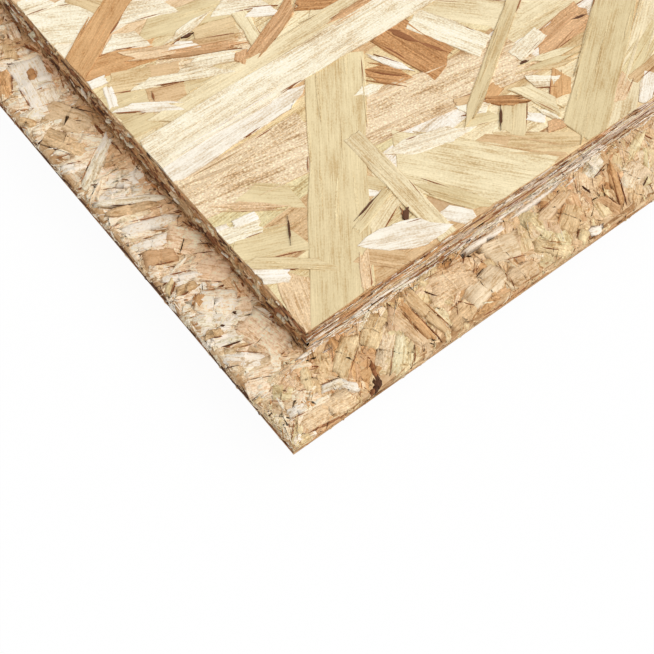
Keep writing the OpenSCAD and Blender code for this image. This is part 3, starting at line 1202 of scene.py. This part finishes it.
# Beyond that, how densely flakes lie, and the width below which they are left out
FAR_DENSITY = 0.42
FINEST = 0.5
# Crushed bits for each millimetre of a root
ROOT_BITS = 3.0
# Cells along and across a blank for a flake that the photograph shows and for one further off
SHOWN_FLAKE = (8, 4)
FAR_FLAKE = (4, 2)
# How much deeper than the tongue's length a groove is. A tongue's far end stops where the other groove runs out.
TIP_CLEARANCE = 1.0


def browned_and_shaded(colour, side, out):
    """A flake's tone, browner and darker beside the shoulder: partly browner wood, partly painted shade from the
    shoulder.
    """
    darkening = 1 - FOOT_BROWN_AND_SHADE[side] * np.clip(1 - out / FOOT_REACH, 0.0, 1.0)
    return tuple(np.array(colour) * darkening ** FOOT_SHADE_HUES)


def flake_kind(rng):
    return rng.choice(KINDS, p=FLAKE_ENDS)


def featured_flakes(rng, side, laid):
    """The flakes of one list, each at a height of its own, and beside all but the slivers a dark line painted as their
    shadow.
    """
    chips = []
    for name, start, end, width in laid:
        along, out, turn, length = span(start, end)
        rise = NARROW_RISE if width < NARROW else 0.0
        chips.append(Chip(
            along, out, turn, length * SUNK_RIM[0], width * SUNK_RIM[1],
            top=FEATURE_LEVEL + rng.uniform(-0.06, 0.06) + rise, thick=0.5,
            tilt=tuple(rng.normal(0, 0.012, 2)), curl=rng.normal(0, 0.06), taper=rng.normal(0, 0.15),
            tone=browned_and_shaded(mixed_tone(rng, {name: 1}, 0.03), side, out), fuzz=rng.uniform(*FLAKE_FUZZ),
            kind="point" if width < SLIVER else flake_kind(rng),
        ))
        if width > SLIVER:
            chips.append(shadow_line_beside(rng, chips[-1]))
    return chips


def shadow_line_beside(rng, flake):
    """A dark sliver along one side of a flake, painted as the shadow in the gap beside it."""
    length = flake.length * rng.uniform(0.35, 0.75)
    ahead = rng.uniform(-0.3, 0.3) * (flake.length - length)
    beside = rng.choice((-1, 1)) * flake.width * 0.4
    sine, cosine = math.sin(flake.turn), math.cos(flake.turn)
    return Chip(
        flake.along + cosine * ahead - sine * beside, flake.across + sine * ahead + cosine * beside,
        turn=flake.turn + rng.normal(0, 0.08), length=length, width=rng.uniform(0.25, 0.5),
        top=flake.top - rng.uniform(0.0, 0.05), thick=0.45,
        tilt=(0.0, 0.0), curl=flake.curl, taper=rng.normal(0, 0.4),
        tone=mixed_tone(rng, GAP_SHADE_TONES, 0.1), fuzz=0.4, kind="point",
    )


def zoned_tone(rng, shares, along):
    """A tone out of shares that run from pale to dark. Neighbours along an edge have tones alike."""
    waves = (strength * math.sin(2 * math.pi * along / wave + wave) for wave, strength in TONE_WAVES)
    draw = np.clip(rng.normal(0.5 + sum(waves), 0.2), 0.0, 0.999) * sum(shares.values())
    chosen = np.searchsorted(np.cumsum(tuple(shares.values())), draw, side="right")
    return mixed_tone(rng, {tuple(shares)[chosen]: 1})


def flakes(rng, side, first, last, density):
    """Flakes on a milled flank between two places along it: torn pieces, strips, chips, fibres, dark slivers painted as
    the shade in cracks and pits, bits at the foot painted partly as its light and shade, and dark slivers of the tip
    painted as its shade."""
    broad, strips, bits = MILLED_TONES[side]
    whole, foot, tip = (-0.5, TONGUE + 1.2), (0.4, 1.6), (TONGUE + 1.05, TONGUE + 1.5)
    # Each kind: count per millimetre, lengths, widths, heights, places from the shoulder, tones, stray, tilt and the
    # share of them with a dark line painted beside them as their shadow
    kinds = (
        (1.80, (7.0, 15.0), (3.5, 7.0), (0.02, 0.10), whole, broad, 1.6, 0.0, 0.0),
        (1.30, (5.0, 12.0), (1.8, 4.2), (0.08, 0.24), whole, broad, 1.0, 0.02, 0.6),
        (0.60, (3.0, 9.0), (0.7, 1.8), (0.12, 0.30), whole, strips, 1.0, 0.03, 0.4),
        (0.25, (1.5, 4.0), (0.8, 1.8), (0.10, 0.30), whole, bits, 1.5, 0.05, 0.3),
        (2.20, (2.5, 7.0), (0.2, 0.4), (0.16, 0.38), whole, strips, 0.8, 0.04, 0.0),
        # Dark hair cracks and pits: slivers painted as shade
        (0.50, (1.5, 5.0), (0.15, 0.3), (0.20, 0.38), whole, GAP_SHADE_TONES, 0.4, 0.0, 0.0),
        (0.30, (0.7, 1.8), (0.4, 0.9), (0.20, 0.36), whole, GAP_SHADE_TONES, 0.8, 0.0, 0.0),
        (0.60, (1.0, 5.0), (0.3, 1.0), (0.10, 0.40), foot, FOOT_LIGHT_AND_SHADE_TONES[side], 0.0, 0.06, 0.0),
        (0.80, (3.0, 12.0), (0.6, 1.0), (0.24, 0.34), tip, TIP_SHADE_TONES[side], 0.0, 0.0, 0.0),
    )
    chips = []
    combed, stray = COMBED[side]
    for rate, lengths, widths, heights, places, tones, share, tilt, shadowed_share in kinds:
        if density < 1 and widths[1] < FINEST:
            continue
        for _ in range(round((last - first) * rate * density)):
            along = rng.uniform(first, last)
            turn = rng.normal(combed, stray * share) if share else rng.normal(0, 0.15)
            out = rng.uniform(*places)
            chips.append(Chip(
                along, out, turn, length=rng.uniform(*lengths), width=rng.uniform(*widths),
                top=rng.uniform(*heights), thick=0.45,
                tilt=tuple(rng.normal(0, (tilt, tilt))), curl=rng.normal(0, 0.05), taper=rng.normal(0, 0.4),
                tone=browned_and_shaded(zoned_tone(rng, tones, along), side, out), fuzz=rng.uniform(*FLAKE_FUZZ),
                kind=flake_kind(rng),
            ))
            if rng.random() < shadowed_share:
                chips.append(shadow_line_beside(rng, chips[-1]))
    return chips


def root_bits(rng, side):
    """Crushed bits in the root beside the shoulder, as far as the photograph reaches."""
    # The bits take the foot's tones: pale on the long tongue as a painted highlight, dark on the short one partly as
    # painted shade
    return [
        Chip(
            rng.uniform(0, NEAR), rng.normal(0, 0.25), turn=rng.normal(0, 0.3),
            length=rng.uniform(1.0, 5.0), width=rng.uniform(0.4, 1.2), top=rng.uniform(0.0, 0.16), thick=0.4,
            tilt=(0.0, 0.0), curl=rng.normal(0, 0.03), taper=rng.normal(0, 0.4),
            tone=mixed_tone(rng, FOOT_LIGHT_AND_SHADE_TONES[side], 0.1), fuzz=rng.uniform(*FLAKE_FUZZ), kind=flake_kind(rng),
        )
        for _ in range(round(NEAR * ROOT_BITS))
    ]


def tongue_cuts(surface, end):
    """The cuts that hold flakes to half a tongue: its shoulder, its middle and its far end."""
    corner, along, out = (Vector(part) for part in surface[:3])
    middle = (BOX_LOW + BOX_HIGH) / 2
    return (corner, -out), (middle, -Vector(surface.outward)), (corner + along * end * MM, along)


class BOARD_OT_tongue(bpy.types.Operator):
    """Lays the flakes that the cutter left on the flanks of the tongues, and the slivers of their tips"""

    bl_idname = "strand_board.tongue"
    bl_label = "Lay the tongues"

    def execute(self, context):
        rng = np.random.default_rng(context.scene.strand_edges.seed)
        shown, plain = blanks_of(model_flake, *SHOWN_FLAKE), blanks_of(model_flake, *FAR_FLAKE)
        material = milled_pine()
        for side, length, laid in (("long", FACE_LENGTH, LONG_FLAKES), ("short", FACE_WIDTH, SHORT_FLAKES)):
            end = length - TONGUE - TIP_CLEARANCE
            upper, lower = flank_surface(side, 1), flank_surface(side, -1)
            near = lay_chips(flakes(rng, side, -TONGUE, NEAR, 1.0), shown, upper, rng, (0.35, 1.0, 3.0))
            near += lay_chips(root_bits(rng, side), shown, root_surface(side), rng, (0.0, 0.12, 6.0))
            near += lay_chips(featured_flakes(rng, side, laid), shown, upper, rng, (0.12, 0.35, 3.0))
            far = lay_chips(flakes(rng, side, NEAR, end, FAR_DENSITY), plain, upper, rng, (0.0, 1.0, 3.0))
            below = lay_chips(flakes(rng, side, -TONGUE, end, FAR_DENSITY), plain, lower, rng, (0.0, 1.0, 3.0))
            for place, surface, groups in (("near", upper, near), ("far", upper, far), ("lower", lower, below)):
                piece = join_chips(f"{side}_tongue_{place}_flakes", groups, material, smooth=True)
                saw(piece, *tongue_cuts(surface, end))
                clear_strays(piece)
                hand_over(piece)
        return {"FINISHED"}


# Strands cut through on an upright edge. Each kind: how many times it covers the edge, lengths, widths in layers,
# heights, turn, shares of the edge's height between which it lies, and tones
CUT_LAYERS = {
    "long": (
        (3.5, (6.0, 20.0), (1.5, 3.2), (0.0, 0.12), 0.07, (0.0, 1.0),
         {"cream": 8, "ash": 48, "tan": 22, "rust": 12, "brown": 10}),
        (0.9, (3.0, 11.0), (0.4, 1.0), (0.08, 0.20), 0.10, (0.0, 1.0),
         {"milk": 14, "cream": 20, "ash": 24, "tan": 12, "umber": 30}),
        # Brown layers along the top of the long shoulder: brown wood, partly painted shade under the face's edge
        (0.9, (2.0, 9.0), (0.3, 1.0), (0.05, 0.22), 0.08, (0.7, 1.0),
         {"tan": 20, "brown": 45, "umber": 35}),
        # Pale layers along its foot: a painted highlight where the shoulder meets the tongue's root
        (0.8, (3.0, 12.0), (0.5, 1.3), (0.10, 0.32), 0.10, (-0.1, 0.2),
         {"white": 50, "cream": 50}),
    ),
    "short": (
        # The short edges' layers are dark brown, partly painted shade, since the short shoulder faces away from the key
        # light
        (3.5, (2.0, 9.0), (1.6, 3.9), (0.0, 0.15), 0.35, (0.0, 1.0),
         {"tan": 10, "brown": 35, "umber": 42, "dark": 13}),
        (0.6, (1.2, 4.0), (1.0, 2.8), (0.12, 0.45), 0.7, (0.1, 1.0),
         {"cream": 22, "peach": 25, "tan": 26, "rust": 15, "brown": 12}),
        # Dark pits: slivers painted as the shade in hollows of the edge
        (0.25, (1.5, 5.0), (0.6, 1.6), (0.12, 0.26), 0.3, (0.0, 0.6),
         {"umber": 60, "dark": 40}),
    ),
}
# Share of its length times its width that a flake covers
FLAKE_COVER = 0.54
# How much longer the layers are where the photograph doesn't reach
FAR_STRETCH = 3.0
# What the rounding of a root takes of the height of a shoulder or lip
ROOT_HEIGHT = 0.7
# How far the layers of an edge stand above the board's solid face, under the strands, and how far they sink unevenly
LAYER_PROUD = 0.06
LAYER_SINK = 0.3
# Cells along and across a blank for a layer that the photograph shows and for one further off
SHOWN_LAYER = (8, 3)
FAR_LAYER = (4, 2)


def edge_layers(rng, layer, kinds, first, last, height, stretch):
    """Strands cut through on an upright edge: thin broken layers, with streaks, bits, and dark slivers painted as the
    shade in cracks and pits over them.
    """
    chips = []
    for cover, lengths, widths, heights, turn, (low, high), tones in kinds:
        area = (last - first) * height * (high - low)
        size = stretch * sum(lengths) / 2 * layer * sum(widths) / 2 * FLAKE_COVER
        for _ in range(round(cover * area / size)):
            chips.append(Chip(
                rng.uniform(first, last), rng.uniform(low, high) * height, turn=rng.normal(0, turn) / stretch,
                length=rng.uniform(*lengths) * stretch, width=rng.uniform(*widths) * layer,
                top=rng.uniform(*heights), thick=0.5,
                tilt=(0.0, rng.normal(0, 0.05)), curl=rng.normal(0, 0.04), taper=rng.normal(0, 0.3),
                tone=mixed_tone(rng, tones, 0.1), fuzz=rng.uniform(*FLAKE_FUZZ), kind=flake_kind(rng),
            ))
    return chips


class BOARD_OT_edges(bpy.types.Operator):
    """Lays the cut layers on the shoulders beside the tongues and on the lips beside the grooves"""

    bl_idname = "strand_board.edges"
    bl_label = "Lay the edges"

    def execute(self, context):
        settings = context.scene.strand_edges
        rng = np.random.default_rng(settings.seed + 1)
        shown, plain = blanks_of(model_flake, *SHOWN_LAYER), blanks_of(model_flake, *FAR_LAYER)
        material = bpy.data.materials["milled_pine_flake"]
        layer = settings.layer / MM
        # Height of a shoulder's or lip's flat part: what the tongue and its rounded root leave of half the thickness
        flat = (THICKNESS - settings.tongue_root / MM) / 2 - ROOT_HEIGHT
        for side in ("long tongue", "short tongue", "long groove", "short groove"):
            length = FACE_LENGTH if side.startswith("long") else FACE_WIDTH
            kinds = CUT_LAYERS[side.split()[0]]
            groups = []
            for low in (0.0, THICKNESS - flat):
                surface = edge_surface(side, low)
                near = NEAR if side.endswith("tongue") and low else 0.0
                if near:
                    laid = edge_layers(rng, layer, kinds, 0, near, flat, 1.0)
                    groups += lay_chips(laid, shown, surface, rng, (0.6, 1.0, 6.0))
                laid = edge_layers(rng, layer, kinds[:1], near, length, flat, FAR_STRETCH)
                groups += lay_chips(laid, plain, surface, rng, (0.3, 0.6, 12.0) if low else (0.0, 0.3, 12.0))
            piece = join_chips(side.replace(" ", "_") + "_layers", groups, material, smooth=True)
            start, along = Vector(surface.origin), Vector(surface.along)
            saw(
                piece,
                (start, -along),
                (start + along * length * MM, along),
                ((0, 0, BOX_HIGH[2] + LAYER_PROUD * MM), (0, 0, 1)),
                ((0, 0, BOX_LOW[2] - LAYER_PROUD * MM), (0, 0, -1)),
            )
            settle(piece, rng)
            clear_strays(piece)
            hand_over(piece)
        return {"FINISHED"}


# The photograph's view: what the camera looks at, in millimetres from the face's corner, and which way it looks
LOOK_AT = (3.17, -1.04, 0.0)
LOOK = (0.30086, 0.38579, -0.87215)
SENSOR = 36.0
# Nearest that the camera sees, in metres
NEAREST = 0.01
# Towards the key light, which stands beyond the long edge and high up, and how wide it looks, in degrees
TO_KEY = (0.30, -0.45, 0.84)
KEY_WIDTH = 60.0
# Side of the floor in metres, how far it lies under the board's solid so that the strands clear it, in millimetres, and
# how bright it is
FLOOR_SIZE = 40.0
FLOOR_DROP = 0.6
FLOOR_WHITE = 0.9
# How much of the floor's own light and shade the camera sees on the white ground
FLOOR_SHADE = 0.04


def white_paper():
    # Matt white paper, which the camera sees as plain white with a trace of the shadow
    material, tree = new_material("white_paper")
    path = add(tree, "ShaderNodeLightPath").outputs
    seen = add(tree, "ShaderNodeMath", {"operation": "ADD"}, i0=path["Is Camera Ray"], i1=path["Is Glossy Ray"])
    seen = add(tree, "ShaderNodeMath", {"operation": "ADD", "use_clamp": True}, i0=seen,
               i1=path["Is Transmission Ray"])
    seen = add(tree, "ShaderNodeMath", {"operation": "MULTIPLY"}, i0=seen, i1=1 - FLOOR_SHADE)
    paper = add(tree, "ShaderNodeBsdfDiffuse", Color=(FLOOR_WHITE, FLOOR_WHITE, FLOOR_WHITE, 1.0))
    white = add(tree, "ShaderNodeEmission", Strength=1.0)
    blend = add(tree, "ShaderNodeMixShader", i0=seen, i1=paper, i2=white)
    add(tree, "ShaderNodeOutputMaterial", Surface=blend)
    return material


def studio(fill):
    """A white world that lights the board from all round, and that the camera sees as plain white."""
    world = bpy.data.worlds.new("studio")
    world.use_nodes = True
    tree = world.node_tree
    tree.nodes.clear()
    path = add(tree, "ShaderNodeLightPath").outputs
    seen = add(tree, "ShaderNodeMath", {"operation": "MAXIMUM"}, i0=path["Is Camera Ray"], i1=fill)
    ground = add(tree, "ShaderNodeBackground", Color=(1.0, 1.0, 1.0, 1.0), Strength=seen)
    add(tree, "ShaderNodeOutputWorld", Surface=ground)
    return world


class BOARD_OT_stage(bpy.types.Operator):
    """Sets the floor, the light and the camera"""

    bl_idname = "strand_board.stage"
    bl_label = "Set the stage"

    def execute(self, context):
        scene = context.scene
        settings = scene.strand_stage
        bpy.ops.object.select_all(action="DESELECT")
        bpy.ops.mesh.primitive_plane_add(size=FLOOR_SIZE)
        floor = context.object
        floor.name = "floor"
        edit(floor)
        bpy.ops.mesh.select_all(action="SELECT")
        bpy.ops.transform.translate(value=(0, 0, BOX_LOW[2] - FLOOR_DROP * MM))
        bpy.ops.object.mode_set(mode="OBJECT")
        floor.data.materials.append(white_paper())
        scene.world = studio(settings.fill)

        lamp = bpy.data.lights.new("key", "SUN")
        lamp.energy = settings.key
        lamp.angle = math.radians(KEY_WIDTH)
        key = bpy.data.objects.new("key", lamp)
        key.rotation_euler = Vector(TO_KEY).to_track_quat("Z", "Y").to_euler()
        context.collection.objects.link(key)

        look = Vector(LOOK).normalized()
        lens = bpy.data.cameras.new("camera")
        lens.lens = settings.focal
        lens.sensor_width = SENSOR
        lens.sensor_fit = "HORIZONTAL"
        lens.clip_start = NEAREST
        camera = bpy.data.objects.new("camera", lens)
        camera.location = Vector(FACE_LOW) + Vector(LOOK_AT) * MM - look * settings.distance
        camera.rotation_euler = look.to_track_quat("-Z", "Y").to_euler()
        context.collection.objects.link(camera)
        scene.camera = camera
        scene.view_settings.view_transform = "Standard"
        return {"FINISHED"}


class BOARD_PT_panel(bpy.types.Panel):
    """Makes the board piece by piece"""

    bl_idname = "BOARD_PT_panel"
    bl_label = "Strand Board"
    bl_space_type = "VIEW_3D"
    bl_region_type = "UI"
    bl_category = "Strand Board"

    def draw(self, context):
        for operator in OPERATORS:
            self.layout.operator(operator.bl_idname)
        for name in SETTINGS:
            box = self.layout.box()
            group = getattr(context.scene, name)
            for key in group.__annotations__:
                box.prop(group, key)


SETTINGS = {
    "strand_tones": StrandTones,
    "strand_face": FaceSettings,
    "strand_edges": EdgeSettings,
    "strand_stage": StageSettings,
}
OPERATORS = (BOARD_OT_core, BOARD_OT_face, BOARD_OT_underside, BOARD_OT_tongue, BOARD_OT_edges, BOARD_OT_stage)


def register():
    for group in (*SETTINGS.values(), *OPERATORS, BOARD_PT_panel):
        bpy.utils.register_class(group)
    for name, group in SETTINGS.items():
        setattr(bpy.types.Scene, name, PointerProperty(type=group))


def unregister():
    for name in SETTINGS:
        delattr(bpy.types.Scene, name)
    for group in reversed((*SETTINGS.values(), *OPERATORS, BOARD_PT_panel)):
        bpy.utils.unregister_class(group)


def main():
    register()
    bpy.ops.strand_board.core()
    bpy.ops.strand_board.face()
    bpy.ops.strand_board.underside()
    bpy.ops.strand_board.tongue()
    bpy.ops.strand_board.edges()
    bpy.ops.strand_board.stage()


if __name__ == "__main__":
    main()
